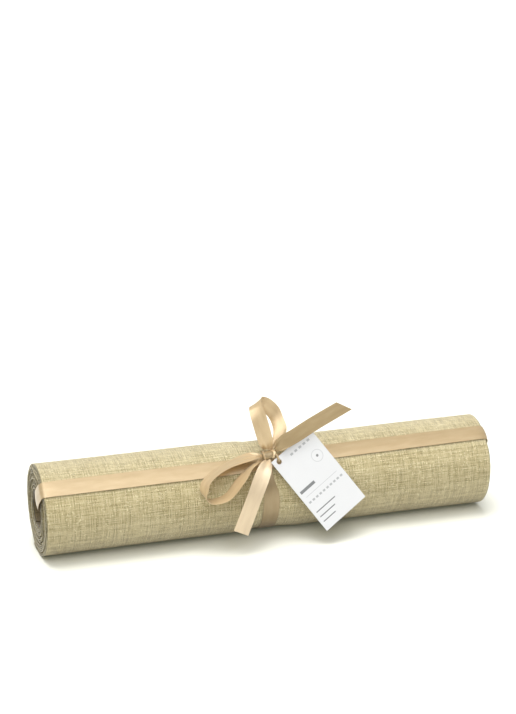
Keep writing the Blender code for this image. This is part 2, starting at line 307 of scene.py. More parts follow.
linenLook = {
    "warpPitch": 0.78,            # mm between threads
    "weftPitch": 0.72,
    "deep": (0.34, 0.27, 0.115, 1),
    "body": (0.62, 0.52, 0.275, 1),
    "pale": (0.84, 0.745, 0.475, 1),
    "paintedGlint": (1.0, 0.92, 0.64, 1),
    "roughness": (0.62, 0.95),
    "cutFrom": 148.9,             # mm from the middle, where the cut edge shows
    # painted shade on the cut ends of the wound layers
    "cutPaintedShade": (0.36, 0.35, 0.27, 1),
    "hollowFrom": 1790.0,         # mm of cloth wound before the hollow's own turns, where the painted shade begins
    "hollowPaintedShade": (0.30, 0.26, 0.19, 1),
    "cutFade": 0.35,
    "hollowFade": 25,
    "fuzzScale": 900.0,
    "sheen": 0.45,
    "sheenRoughness": 0.5,
    "bumpDepth": 0.00045,
    "bumpStrength": 0.9,
    "bodyAt": 0.42,               # where the middle colour stands between deep and pale
    "gapShadeShare": 0.75,             # how dark the painted shade in the gaps between the threads is
    "paintedGlintShare": 0.6,            # how bright the painted glints on a few threads are
    "fuzzContrast": 2.4,
    "fuzzShare": 0.75,
}


def makeWeaveGroup():
    group, entry, leave = makeGroup("linenWeave", [
        ("Place", "NodeSocketVector", None),
        ("WarpPitch", "NodeSocketFloat", 0.8),
        ("WeftPitch", "NodeSocketFloat", 0.8),
        ("Slub", "NodeSocketFloat", 1.0),
    ], [
        ("Tone", "NodeSocketFloat"), ("Height", "NodeSocketFloat"),
        ("PaintedGapShade", "NodeSocketFloat"), ("PaintedGlint", "NodeSocketFloat"),
    ])
    split = addNode(group, "ShaderNodeSeparateXYZ", {0: entry.outputs["Place"]})
    x, y = split.outputs["X"], split.outputs["Y"]
    # threads wander a little
    driftX = maths(group, "MULTIPLY_ADD", stretchAt(group, x, y, 0.09, 0.05), 1.6, x)
    driftY = maths(group, "MULTIPLY_ADD", stretchAt(group, x, y, 0.04, 0.11), 1.6, y)
    warp = maths(group, "DIVIDE", driftX, entry.outputs["WarpPitch"])
    weft = maths(group, "DIVIDE", driftY, entry.outputs["WeftPitch"])
    warpIndex, weftIndex = maths(group, "FLOOR", warp), maths(group, "FLOOR", weft)
    warpRound = maths(group, "SINE", maths(group, "MULTIPLY", maths(group, "FRACT", warp), math.pi))
    weftRound = maths(group, "SINE", maths(group, "MULTIPLY", maths(group, "FRACT", weft), math.pi))
    odd = maths(group, "PINGPONG", maths(group, "ADD", warpIndex, weftIndex), 1.0)
    sign = maths(group, "MULTIPLY_ADD", odd, 2.0, -1.0)
    overWarp = maths(group, "MULTIPLY_ADD", maths(group, "MULTIPLY", sign, weftRound), 0.5, 0.5)
    overWeft = maths(group, "MULTIPLY_ADD", maths(group, "MULTIPLY", sign, warpRound), -0.5, 0.5)
    warpTop = maths(group, "MULTIPLY", warpRound, overWarp)
    weftTop = maths(group, "MULTIPLY", weftRound, overWeft)
    height = maths(group, "MAXIMUM", warpTop, weftTop)
    isWarp = maths(group, "GREATER_THAN", warpTop, weftTop)
    # thick and thin lengths of yarn, and each yarn's own shade
    warpSlub = stretchAt(group, x, y, 1.15, 0.12, 3.0)
    weftSlub = stretchAt(group, x, y, 0.10, 1.25, 3.0)
    warpTone = maths(group, "MULTIPLY_ADD", maths(group, "SUBTRACT", warpSlub, 0.5), 1.9,
                     maths(group, "MULTIPLY", randomAt(group, warpIndex), 0.45))
    weftTone = maths(group, "MULTIPLY_ADD", maths(group, "SUBTRACT", weftSlub, 0.5), 2.1,
                     maths(group, "MULTIPLY", randomAt(group, maths(group, "ADD", weftIndex, 0.37)), 0.5))
    between = addNode(group, "ShaderNodeMix", {0: isWarp, 2: weftTone, 3: warpTone}, data_type="FLOAT")
    cloud = maths(group, "SUBTRACT", stretchAt(group, x, y, 0.03, 0.04), 0.5)
    cell = addNode(group, "ShaderNodeCombineXYZ", {"X": warpIndex, "Y": weftIndex}).outputs[0]
    grain = addNode(group, "ShaderNodeTexWhiteNoise", {"Vector": cell}, noise_dimensions="2D").outputs["Value"]
    tone = maths(group, "MULTIPLY_ADD", entry.outputs["Slub"], between.outputs[0], 0.2)
    tone = maths(group, "MULTIPLY_ADD", maths(group, "SUBTRACT", grain, 0.5), 0.2, tone)
    tone = maths(group, "MULTIPLY_ADD", cloud, 0.3, tone, clamp=True)
    tall = maths(group, "MULTIPLY_ADD", maths(group, "MAXIMUM", warpSlub, weftSlub), 0.5, height)
    # painted shade: the low places between the threads are marked for darkening
    gap = maths(group, "SUBTRACT", 1.0, maths(group, "DIVIDE", height, 0.42), clamp=True)
    # a few raised thread tops get a painted glint of metallic yarn
    paintedGlint = maths(group, "MULTIPLY", maths(group, "GREATER_THAN", grain, 0.965),
                  maths(group, "GREATER_THAN", height, 0.4))
    for label, value in (("Tone", tone), ("Height", tall), ("PaintedGapShade", gap), ("PaintedGlint", paintedGlint)):
        group.links.new(value, leave.inputs[label])
    return group


def makeLinen(weave):
    look = linenLook
    material, tree, shader = newMaterial("linenCloth")
    place = addNode(tree, "ShaderNodeUVMap", uv_map="cloth").outputs[0]
    threads = useGroup(tree, weave, Place=place,
                       WarpPitch=look["warpPitch"], WeftPitch=look["weftPitch"], Slub=1.0)
    ramp = addNode(tree, "ShaderNodeValToRGB", {0: threads.outputs["Tone"]})
    stops = ramp.color_ramp.elements
    stops[0].position, stops[0].color = 0.0, look["deep"]
    stops[1].position, stops[1].color = 1.0, look["pale"]
    stops.new(look["bodyAt"]).color = look["body"]
    gap = maths(tree, "MULTIPLY", threads.outputs["PaintedGapShade"], look["gapShadeShare"])
    paintedGlint = maths(tree, "MULTIPLY", threads.outputs["PaintedGlint"], look["paintedGlintShare"])
    # painted shade in the gaps between the threads
    colour = mixColours(tree, gap, ramp.outputs[0], look["deep"])
    # painted glint of metallic yarn on a few threads
    colour = mixColours(tree, paintedGlint, colour, look["paintedGlint"])
    spot = addNode(tree, "ShaderNodeSeparateXYZ", {0: place})
    fromMiddle = maths(tree, "ABSOLUTE", spot.outputs["X"])
    # the cut ends are darkened, speckled by the fuzz noise: painted shade on the ends of the wound layers
    atEnd = rangeAt(tree, fromMiddle, start=(look["cutFrom"], look["cutFrom"] + look["cutFade"]))
    fuzz = noiseAt(tree, addNode(tree, "ShaderNodeTexCoord").outputs["Object"], look["fuzzScale"], 3.0)
    fuzz = maths(tree, "SUBTRACT", fuzz, 0.5)
    fuzz = maths(tree, "MULTIPLY_ADD", fuzz, look["fuzzContrast"], look["fuzzShare"], clamp=True)
    colour = mixColours(tree, maths(tree, "MULTIPLY", atEnd, fuzz), colour, look["cutPaintedShade"], "MULTIPLY")
    # painted shade deep in the hollow, on the innermost turns
    inHollow = rangeAt(tree, spot.outputs["Y"], start=(look["hollowFrom"], look["hollowFrom"] + look["hollowFade"]))
    colour = mixColours(tree, inHollow, colour, look["hollowPaintedShade"], "MULTIPLY")
    tree.links.new(colour, shader.inputs["Base Color"])
    rough = rangeAt(tree, threads.outputs["Tone"], end=look["roughness"][::-1])
    tree.links.new(rough, shader.inputs["Roughness"])
    shader.inputs["Sheen Weight"].default_value = look["sheen"]
    shader.inputs["Sheen Roughness"].default_value = look["sheenRoughness"]
    addBump(tree, shader, threads.outputs["Height"], look["bumpDepth"], look["bumpStrength"])
    return material


# satin ribbon

satinLook = {
    "deep": (0.45, 0.315, 0.155, 1),
    "body": (0.54, 0.395, 0.21, 1),
    "pale": (0.63, 0.49, 0.29, 1),
    "roughness": (0.30, 0.40),
    "metallic": 0.38,
    "specular": 0.8,
    "coatIor": 1.7,
    "coatRoughness": 0.34,
    "sheen": 0.15,
    "bumpDepth": 0.00004,
    "bumpStrength": 0.7,
    "stops": (0.1, 0.5, 0.95),    # where deep, body and pale stand
    "selvage": 0.45,              # mm
    "selvageShare": 0.35,
    "floatPitch": 0.22,           # mm
}


def makeSatinGroup():
    group, entry, leave = makeGroup("satinThreads", [
        ("Place", "NodeSocketVector", None),
        ("Width", "NodeSocketFloat", mapWidth),
    ], [
        ("Tone", "NodeSocketFloat"), ("Height", "NodeSocketFloat"), ("Selvage", "NodeSocketFloat"),
    ])
    split = addNode(group, "ShaderNodeSeparateXYZ", {0: entry.outputs["Place"]})
    x, y = split.outputs["X"], split.outputs["Y"]
    fine = stretchAt(group, x, y, 7.0, 0.25, 2.0)
    broad = stretchAt(group, x, y, 0.35, 0.07, 1.0)
    inset = maths(group, "MINIMUM", x, maths(group, "SUBTRACT", entry.outputs["Width"], x))
    selvage = maths(group, "SUBTRACT", 1.0, maths(group, "DIVIDE", inset, satinLook["selvage"]), clamp=True)
    floats = maths(group, "SINE", maths(group, "MULTIPLY", x, 2 * math.pi / satinLook["floatPitch"]))
    tone = maths(group, "MULTIPLY_ADD", fine, 0.45, maths(group, "MULTIPLY", broad, 0.6), clamp=True)
    height = maths(group, "MULTIPLY_ADD", floats, 0.12, fine)
    height = maths(group, "MULTIPLY_ADD", selvage, 0.6, height)
    for label, value in (("Tone", tone), ("Height", height), ("Selvage", selvage)):
        group.links.new(value, leave.inputs[label])
    return group


def makeSatin(name, threads, paintedLightScale=1.0, paintedLightLift=0.0, coat=0.5):
    # the two numbers scale and lift the ribbon's colours, to make lit and shaded copies of one satin: painted light and
    # painted shade
    look = satinLook
    material, tree, shader = newMaterial(name)
    place = addNode(tree, "ShaderNodeUVMap", uv_map="cloth").outputs[0]
    lines = useGroup(tree, threads, Place=place, Width=mapWidth)
    ramp = addNode(tree, "ShaderNodeValToRGB", {0: lines.outputs["Tone"]})
    stops = ramp.color_ramp.elements
    deep, body, pale = ([value * paintedLightScale + paintedLightLift for value in look[key][:3]] + [1] for key in ("deep", "body", "pale"))
    stops[0].position, stops[0].color = look["stops"][0], deep
    stops[1].position, stops[1].color = look["stops"][2], pale
    stops.new(look["stops"][1]).color = body
    selvage = maths(tree, "MULTIPLY", lines.outputs["Selvage"], look["selvageShare"])
    colour = mixColours(tree, selvage, ramp.outputs[0], deep)
    tree.links.new(colour, shader.inputs["Base Color"])
    rough = rangeAt(tree, lines.outputs["Tone"], end=look["roughness"][::-1])
    tree.links.new(rough, shader.inputs["Roughness"])
    shader.inputs["Metallic"].default_value = look["metallic"]
    shader.inputs["Specular IOR Level"].default_value = look["specular"]
    shader.inputs["Coat Weight"].default_value = coat
    shader.inputs["Coat IOR"].default_value = look["coatIor"]
    shader.inputs["Coat Roughness"].default_value = look["coatRoughness"]
    shader.inputs["Sheen Weight"].default_value = look["sheen"]
    addBump(tree, shader, lines.outputs["Height"], look["bumpDepth"], look["bumpStrength"])
    return material


linen = makeLinen(makeWeaveGroup())
satinThreads = makeSatinGroup()
satin = makeSatin("champagneSatin", satinThreads)
# painted light: a brighter, whiter copy of the satin for the lower tail
satinPaintedLight = makeSatin("paintedLightSatin", satinThreads, paintedLightScale=1.2, paintedLightLift=0.17, coat=0.9)
# painted light: a brighter copy of the satin for the loops and the knot's wrap
satinLoopPaintedLight = makeSatin("loopSatinPaintedLight", satinThreads, paintedLightScale=1.22, paintedLightLift=0.02, coat=0.6)
# painted shade: a darker copy of the satin for the right tail
satinTailPaintedShade = makeSatin("tailSatinPaintedShade", satinThreads, paintedLightScale=0.85, paintedLightLift=-0.025, coat=0.25)
# painted shade: a darker copy of the satin for the girth ribbon and the knot's core
satinPaintedShade = makeSatin("paintedShadeSatin", satinThreads, paintedLightScale=0.72, paintedLightLift=-0.02, coat=0.4)
print("materials ready")


# the rolled cloth

# the cloth dips where this ribbon turns over the rims, so its settings come first
longRibbon = {
    "angles": ((-0.150, 45.6), (-0.030, 46.2), (0.0, 49.5), (0.028, 52.6), (0.150, 55.6)),
    "width": 0.0107,
    "stand": 0.0007,       # above the cloth
    "past": 0.0013,        # past the cloth's ends
    "rim": 0.0038,
    "hollowRadius": 0.0086,
    "bulge": 0.0006,       # how far it stands off the cut end
    "nearKnot": (-0.02, 0.016),
    "crown": 0.0004,
    "across": 12,
    "sway": 0.00006,
    "seed": 4,
}

rollCloth = {
    "length": 0.300,
    "thickness": 0.00085,
    "pitch": 0.00126,
    "turns": 15,
    "fineTurns": 1.5,
    "fineSteps": 132,          # per turn, where it is seen
    "coarseSteps": 48,         # per turn, inside
    "freeEdge": 247.5,         # where the outer edge lies, down at the back
    "bedHalf": 0.0052,
    "waistDepth": 0.0021,
    "waistReach": 0.0085,
    "slack": 0.3,              # how much shallower the waist is behind
    "foldDepth": 0.0004,
    "foldCount": 9,
    "foldPitch": 0.02,
    "foldStart": 0.003,
    "foldAt": 0.004,           # from the bed that the ribbon lies in
    "foldReach": 0.009,
    "rimDip": 0.0011,
    "rimReach": 0.0032,
    "rimSpread": 15,           # degrees to each side of the ribbon
    "rimTurns": 3,
    "sway": 0.00022,
    "swayPitch": 0.035,
    "swayFrom": 0.02,          # from the ribbon around the roll
    "waver": 0.00009,
    "calmTurns": 8,            # the turns below these lie even
    "endInset": 0.0003,
    "endWander": 0.0005,
    "endRagged": 0.00014,
    "endZone": 0.030,          # how far in from each end the cloth follows its cut edge
    "waistZone": 0.030,        # to each side of the ribbon around the roll
    "floorGap": 0.0002,
    "press": 0.00018,          # how softly it flattens on the table
    "fineInside": (0, 0.5, 1.2, 2.5, 4.5, 7, 10, 14, 19, 25),   # mm in from each end
}


def clothRadius(x, angle, turn):
    look = rollCloth
    aside = np.abs(x - roll["girthX"])
    away = np.maximum(aside - look["bedHalf"], 0)
    fade = np.clip(1 - turn / look["calmTurns"], 0, 1)
    tight = 1 - look["slack"] + look["slack"] * np.cos(np.radians(angle - roll["knotAngle"]))
    dip = look["waistDepth"] * tight * np.exp(-(away / look["waistReach"]) ** 1.5)
    rays = ripple(7, np.radians(angle) * look["foldCount"], x / look["foldPitch"], count=4)
    folds = look["foldDepth"] * rays * np.exp(-((away - look["foldAt"]) / look["foldReach"]) ** 2)
    folds = folds * np.clip(away / look["foldStart"], 0, 1)
    # the ribbon pulls the cut edge down where it turns over the rim
    bandAngle = np.interp(x, *zip(*longRibbon["angles"]))
    swing = (angle - bandAngle + 180) % 360 - 180
    inset = (look["length"] / 2 - np.abs(x)) / look["rimReach"]
    near = np.exp(-np.maximum(inset, 0) ** 2 - (swing / look["rimSpread"]) ** 2)
    dip = dip + look["rimDip"] * near * np.clip(1 - turn / look["rimTurns"], 0, 1)
    drift = look["sway"] * ripple(3, x / look["swayPitch"], np.radians(angle), count=5)
    drift = drift * np.clip(aside / look["swayFrom"], 0, 1)
    return roll["radius"] - look["pitch"] * turn - fade * (dip + folds - drift)


def clothPoint(x, total, depthIn=0.0):
    # total is the angle wound from the outer edge, in degrees
    look = rollCloth
    turn = total / 360
    angle = look["freeEdge"] + total
    waver = look["waver"] * ripple(11, np.radians(total) * 0.7, x / 0.2) * np.clip(turn, 0, 1)
    bare = around(x, angle, clothRadius(x, angle, turn) + waver)
    # it flattens where it lies on the table
    floor = look["floorGap"] + look["pitch"] * turn
    press = look["press"]
    gap = (bare[..., 2] - floor) / press
    bare[..., 2] = floor + press * np.where(gap > 30, gap, np.log1p(np.exp(np.minimum(gap, 30))))
    return bare - outwardAt(angle) * depthIn


def endReach(total, side):
    # how far each turn's cut edge stands in or out
    look = rollCloth
    wound = np.radians(total)
    wander = look["endWander"] * ripple(21 + side, wound * 0.32, count=3)
    ragged = look["endRagged"] * ripple(31 + side, wound * 9, count=4)
    return look["length"] / 2 - look["endInset"] + wander + ragged


def clothStations(fine):
    look = rollCloth
    ends = [inset * mm for inset in look["fineInside"]]
    half = look["length"] / 2
    inner = half - look["endZone"]
    if fine:
        near = np.linspace(-look["waistZone"], look["waistZone"], 41) + roll["girthX"]
        left = np.linspace(-inner, near[0], 26)[:-1]
        right = np.linspace(near[-1], inner, 26)[1:]
        middle = np.concatenate([left, near, right])
    else:
        waist = (roll["girthX"] - look["waistZone"], roll["girthX"] + look["waistZone"])
        middle = np.array([-inner, *waist, inner])
    outer = [half - inset for inset in ends]
    return np.concatenate([[-x for x in outer], middle, outer[::-1]])


def spreadRow(stations, total):
    # the ends move in or out, the middle stays
    half, zone = rollCloth["length"] / 2, rollCloth["endZone"]
    share = np.clip((np.abs(stations) - half + zone) / zone, 0, 1)
    left, right = endReach(total, 0) - half, endReach(total, 1) - half
    return stations + np.where(stations < 0, -left, right) * share


def joinRows(a, b, fine, coarse):
    # each coarse step meets a run of fine ones
    faces, start = [], 0
    for k in range(len(coarse) - 1):
        stop = int(np.argmin(np.abs(fine - coarse[k + 1])))
        faces.append((*a[start:stop + 1], b[k + 1], b[k]))
        start = stop
    return faces


def makeRolledCloth():
    look = rollCloth
    fine, coarse = clothStations(True), clothStations(False)
    fineTotals = np.linspace(0, 360 * look["fineTurns"], int(look["fineTurns"] * look["fineSteps"]) + 1)
    coarseCount = int((look["turns"] - look["fineTurns"]) * look["coarseSteps"])
    coarseTotals = np.linspace(360 * look["fineTurns"], 360 * look["turns"], coarseCount + 1)[1:]
    rows, points, uvs = [], [], []
    arc, before = 0.0, 0.0
    for total in np.concatenate([fineTotals, coarseTotals]):
        stations = fine if total <= fineTotals[-1] else coarse
        arc += math.radians(total - before) * (roll["radius"] - look["pitch"] * total / 360)
        before = total
        x = spreadRow(stations, total)
        pair = []
        for depthIn in (0.0, look["thickness"]):
            pair.append(list(range(len(points), len(points) + len(x))))
            points.extend(clothPoint(x, np.full(len(x), total), depthIn))
            uvs.extend((a * 1000, arc * 1000) for a in x)
        rows.append(pair)
    faces = []
    for first, second in zip(rows, rows[1:]):
        for layer in (0, 1):
            a, b = first[layer], second[layer]
            if len(a) == len(b):
                made = [(a[i], a[i + 1], b[i + 1], b[i]) for i in range(len(a) - 1)]
            else:
                made = joinRows(a, b, fine, coarse)
            faces += made if layer == 0 else [face[::-1] for face in made]
        for end, flip in ((0, True), (-1, False)):
            face = (first[0][end], first[1][end], second[1][end], second[0][end])
            faces.append(face[::-1] if flip else face)
    for (outer, inner), flip in ((rows[0], False), (rows[-1], True)):
        for i in range(len(outer) - 1):
            face = (outer[i], inner[i], inner[i + 1], outer[i + 1])
            faces.append(face[::-1] if flip else face)
    cloth = addMesh("rolledCloth", points, [face[::-1] for face in faces], uvs, linen)
    print("cloth wound", round(arc, 3), "m long")
    return cloth, arc


clothPiece, clothLength = makeRolledCloth()
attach(clothPiece, "roll")
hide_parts("fabric_roll")


# frayed yarn at the cut ends

fray = {
    "count": 260,
    "length": (0.0006, 0.0022),
    "radius": 0.00007,
    "root": 0.0002,        # how deep it starts in the cut edge
    "floorGap": 0.0001,
    "outerTurns": 3,       # half of the yarns stand in these turns
}


def makeFray(name, side, seed):
    dice = random.Random(seed)
    points, faces, uvs = [], [], []
    for _ in range(fray["count"]):
        total = 360 * dice.choice((dice.uniform(0, fray["outerTurns"]), dice.uniform(0, rollCloth["turns"])))
        way = -1 if side == 0 else 1
        x = way * (endReach(total, side) - fray["root"])
        root = clothPoint(np.array(x), total, rollCloth["thickness"] * dice.uniform(0.1, 0.9))
        long = dice.uniform(*fray["length"])
        lean = np.array([way * dice.uniform(0.4, 1), dice.uniform(-0.8, 0.8), dice.uniform(-0.8, 0.8)])
        curl = np.array([0, dice.uniform(-1, 1), dice.uniform(-1, 1)]) * long * 0.5
        lean = lean / np.linalg.norm(lean) * long
        start = len(points)
        for i, t in enumerate((0, 0.5, 1)):
            centre = root + lean * t + curl * t * t
            for k in range(3):
                turn = 2 * math.pi * k / 3
                size = fray["radius"] * (1 - 0.6 * t)
                spot = centre + size * np.array([0.3 * math.cos(turn), math.cos(turn), math.sin(turn)])
                spot[2] = max(spot[2], fray["floorGap"])
                points.append(spot)
                uvs.append((k, long * t * 1000))
        for i in (0, 3):
            for k in range(3):
                faces.append((start + i + k, start + i + (k + 1) % 3, start + i + 3 + (k + 1) % 3, start + i + 3 + k))
        faces.append((start, start + 2, start + 1))
        faces.append((start + 6, start + 7, start + 8))
    piece = addMesh(name, points, faces, uvs, linen, 80)
    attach(piece, "roll")


looseThreads = {
    "radius": 0.00022,
    "lines": (
        ((-0.1508, 106, 0.0288), (-0.1514, 92, 0.0281), (-0.1516, 76, 0.0280), (-0.1512, 62, 0.0292)),
        ((-0.1507, 98, 0.0270), (-0.1513, 84, 0.0262), (-0.1512, 68, 0.0268), (-0.1509, 58, 0.0285)),
        ((-0.1508, 20, 0.0294), (-0.1512, 6, 0.0291), (-0.1510, -8, 0.0296)),
    ),
}


def makeLooseThreads():
    look = looseThreads
    for count, line in enumerate(look["lines"]):
        path = smoothPath([around(*spot) for spot in line], 8)
        thread = addTube(f"looseThread{count + 1}", path, look["radius"], linen, 6)
        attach(thread, "roll")


makeLooseThreads()
makeFray("frayedLeft", 0, 5)
makeFray("frayedRight", 1, 6)
print("ends frayed")


# ribbon along the roll, over both rims and back through the hollow

def longRibbonPath():
    # x, radius and how far it curves with the roll, along the band
    look = longRibbon
    half = rollCloth["length"] / 2 + look["past"]
    path = []
    left, right = look["nearKnot"]
    xs = np.concatenate([np.linspace(-half + look["rim"], left, 60), np.linspace(left, right, 30)[1:-1],
                         np.linspace(right, half - look["rim"], 60)])
    for x in xs:
        path.append((x, None, 1.0))
    inner, rim, ends = look["hollowRadius"], look["rim"], []
    for way in (1, -1):
        angle = np.interp(way * (half - rim), *zip(*look["angles"]))
        total = angle - rollCloth["freeEdge"] + 360
        outer = float(clothRadius(np.array(way * (half - rim)), angle, total / 360)) + look["stand"]
        end = []
        for step in range(1, 13):
            turn = math.radians(90 * step / 12)
            over, down = rim * math.sin(turn), rim * math.cos(turn)
            end.append((way * (half - rim + over), outer - rim + down, math.cos(turn)))
        for step in range(1, 12):
            bulge = look["bulge"] * math.sin(math.pi * step / 12)
            end.append((way * (half + bulge), outer - rim + (inner + 2 * rim - outer) * step / 12, 0.0))
        for step in range(0, 9):
            turn = math.radians(90 * step / 8)
            end.append((way * (half - rim + rim * math.cos(turn)), inner + rim - rim * math.sin(turn), 0.0))
        ends.append(end)
    inside = [(x, inner, 0.0) for x in np.linspace(half - rim, -half + rim, 24)[1:-1]]
    return path + ends[0] + inside + ends[1][::-1]


def makeLongRibbon():
    look = longRibbon
    edges = [[], []]
    for x, radius, curved in longRibbonPath():
        angle = np.interp(x, *zip(*look["angles"]))
        if radius is None:
            # on the cloth it bends round the roll a little
            for k, way in enumerate((-1, 1)):
                reach = math.degrees(look["width"] / 2 / roll["radius"])
                turn = angle + way * reach
                total = turn - rollCloth["freeEdge"] + 360
                edges[k].append(clothPoint(np.array(x), total) + outwardAt(turn) * look["stand"])
            continue
        middle = around(x, angle, radius)
        across = outwardAt(angle + 90) * look["width"] / 2
        for k, way in enumerate((-1, 1)):
            bent = around(x, angle + way * math.degrees(look["width"] / 2 / roll["radius"]), radius)
            edges[k].append(bent * curved + (middle + way * across) * (1 - curved))
    return addRibbon("longRibbon", edges[0], edges[1], look, satin, closed=True)


longPiece, longLength = makeLongRibbon()
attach(longPiece, "roll")
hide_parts("long_ribbon")


# ribbon around the roll

girthRibbon = {
    "width": 0.0108,
    "stand": 0.0003,
    # degrees round from the knot, and the share of its width that the ribbon keeps there
    "narrow": ((-360, 1.0), (-62, 1.0), (-46, 0.92), (-30, 0.5), (-16, 0.36),
               (0, 0.34), (22, 0.36), (48, 0.5), (85, 1.0), (360, 1.0)),
    "floorGap": 0.00025,
    "across": 12,
    "steps": 180,
}


def makeGirthRibbon():
    look = girthRibbon
    turns, shares = zip(*look["narrow"])
    edges = [[], []]
    for step in range(look["steps"]):
        angle = roll["knotAngle"] + 180 + 360 * step / look["steps"]
        fromKnot = (angle - roll["knotAngle"] + 180) % 360 - 180
        width = look["width"] * np.interp(fromKnot, turns, shares)
        total = (angle - rollCloth["freeEdge"]) % 360
        for k, way in enumerate((-1, 1)):
            x = roll["girthX"] + way * width / 2
            out = outwardAt(angle) * look["stand"]
            spot = clothPoint(np.array(x), total + (360 if total < 30 else 0)) + out
            spot[2] = max(spot[2], look["floorGap"])
            edges[k].append(spot)
    # painted shade: the girth wears the darker copy of the satin
    return addRibbon("girthRibbon", edges[0], edges[1], look, satinPaintedShade, closed=True)


girthPiece, girthLength = makeGirthRibbon()
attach(girthPiece, "roll")
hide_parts("girth_ribbon")
print("ribbons laid")


# bow

knotHalf = (4.0, 3.0, 2.75)     # the rows of each piece are measured from the knot's sides, in mm
leftLoop = {
    "satin": satinLoopPaintedLight,
    "rows": (
        ((-0.5, 0.6, 3.6), (-0.6, -1.2, 4.6)),
        ((-7.9, 3.6, 2.9), (-9.2, -3.6, 6.6)),
        ((-20.5, 0.4, 2.5), (-22.8, -6.4, 8.4)),
        ((-32.4, -4.6, 2.5), (-33.4, -10.0, 9.4)),
        ((-41.3, -10.0, 2.5), (-39.4, -13.7, 10.6)),
        ((-44.4, -15.3, 2.5), (-41.3, -16.8, 11.2)),
        ((-42.3, -19.8, 2.5), (-42.8, -21.0, 10.8)),
        ((-37.1, -22.0, 2.2), (-37.6, -23.6, 10.6)),
        ((-28.3, -20.0, 2.0), (-27.2, -22.2, 10.6)),
        ((-20.0, -12.2, 2.2), (-16.6, -14.8, 10.2)),
        ((-9.1, -5.0, 2.8), (-9.2, -8.2, 7.6)),
        ((-0.6, -1.6, 2.0), (-0.8, -2.9, 2.9)),
    ),
    "gathers": ((0, 0.00055, 0.013, 2.5, 0.4), (1, 0.0004, 0.009, 2, 1.2)),
    "across": 14,
    "sway": 0.00008,
    "seed": 12,
}
upperLoop = {
    "satin": satinLoopPaintedLight,
    "rows": (
        ((-2.8, 0.6, 0.2), (3.4, 0.6, 0.8)),
        ((-5.9, 2.8, 4.6), (2.8, 4.8, 8.2)),
        ((-9.0, 11.6, 12.8), (-0.1, 14.4, 17.4)),
        ((-10.1, 19.4, 16.4), (-2.1, 22.4, 21.3)),
        ((-8.2, 24.8, 15.2), (-0.1, 27.9, 20.2)),
        ((-2.1, 25.0, 11.6), (6.0, 28.1, 16.5)),
        ((3.8, 21.4, 7.8), (11.4, 24.4, 12.2)),
        ((6.2, 16.2, 5.2), (13.6, 18.4, 9.0)),
        ((5.6, 9.4, 4.4), (14.6, 10.4, 6.4)),
        ((2.4, 3.0, 1.4), (9.6, 3.4, 2.2)),
        ((0.4, 0.6, -1.2), (3.6, 0.6, -1.0)),
    ),
    "gathers": ((0, 0.0005, 0.010, 1.5, 0.8), (1, 0.0004, 0.008, 1.5, 0.2)),
    "crown": 0.0005,
    "across": 14,
    "sway": 0.00008,
    "seed": 13,
}
lowerTail = {
    "rows": (
        ((-3.4, -0.1, 4.0), (0.8, -0.3, 4.0)),
        ((-8.3, -3.5, 7.3), (-0.9, -6.4, 7.5)),
        ((-13.1, -8.8, 7.9), (-4.1, -12.3, 8.1)),
        ((-19.7, -18.4, 9.2), (-10.4, -21.6, 9.1)),
        ((-26.3, -28.0, 11.8), (-16.5, -31.1, 12.1)),
        ((-30.3, -33.2, 15.0), (-20.8, -36.1, 16.5)),
    ),
    # painted light: the lower tail wears the brighter, whiter copy of the satin
    "satin": satinPaintedLight,
    "gathers": ((0, 0.0005, 0.008, 1.5, 0.3),),
    "crown": -0.0002,
    "across": 14,
    "sway": 0.00006,
    "seed": 14,
}
rightTail = {
    "satin": satinTailPaintedShade,
    "rows": (
        ((0.4, 2.9, 1.6), (0.4, 0.6, 0.8)),
        ((3.2, 6.6, 8.8), (5.8, -0.3, 3.9)),
        ((11.2, 8.9, 12.4), (15.8, 2.6, 6.9)),
        ((23.6, 12.6, 18.4), (29.0, 7.0, 12.2)),
        ((41.3, 17.4, 25.8), (51.6, 13.2, 22.0)),
    ),
    "gathers": ((0, 0.0004, 0.008, 1.5, 0.0),),
    "crown": 0.0002,
    "across": 14,
    "sway": 0.00006,
    "seed": 15,
}


def makeBowPiece(name, look, place, side, node):
    start = [half * way for half, way in zip(knotHalf, side)]
    placed = [[place(*(a + b for a, b in zip(start, edge))) for edge in row] for row in look["rows"]]
    edgeA = smoothPath([row[0] for row in placed], 9)
    edgeB = smoothPath([row[1] for row in placed], 9)
    piece, length = addRibbon(name, edgeA, edgeB, look, look["satin"])
    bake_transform(piece)
    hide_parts(node)


# knot

knotLook = {
    "centreOut": 3.65,
    "along": 3.3,
    "out": 2.8,
    "half": 4.2,
    "start": -75,
    "stop": 255,
    "steps": 60,
    "squeeze": (0.80, 0.24),    # its width behind, and how much wider it is in front
    "tilt": 0.10,
    "crown": 0.0010,
    "across": 16,
    "gathers": ((0, 0.00016, 0.1, 1.5, 0.9), (1, 0.0001, 0.1, 3.5, 2.0)),
    "rings": 13,
    "sides": 24,
    "lump": 0.06,
    "coreInset": 0.25,          # the core stays this far inside the wrap
    "corePast": 0.35,           # and shows this far at its sides
}


def knotPlace(x, turn, grow=0.0):
    look = knotLook
    swing = math.radians(turn)
    along = (look["along"] + grow) * math.cos(swing) + look["tilt"] * x
    out = (look["out"] + grow) * math.sin(swing)
    return offRoll(x, along, look["centreOut"] - roll["bowLift"] * 1000 + out)


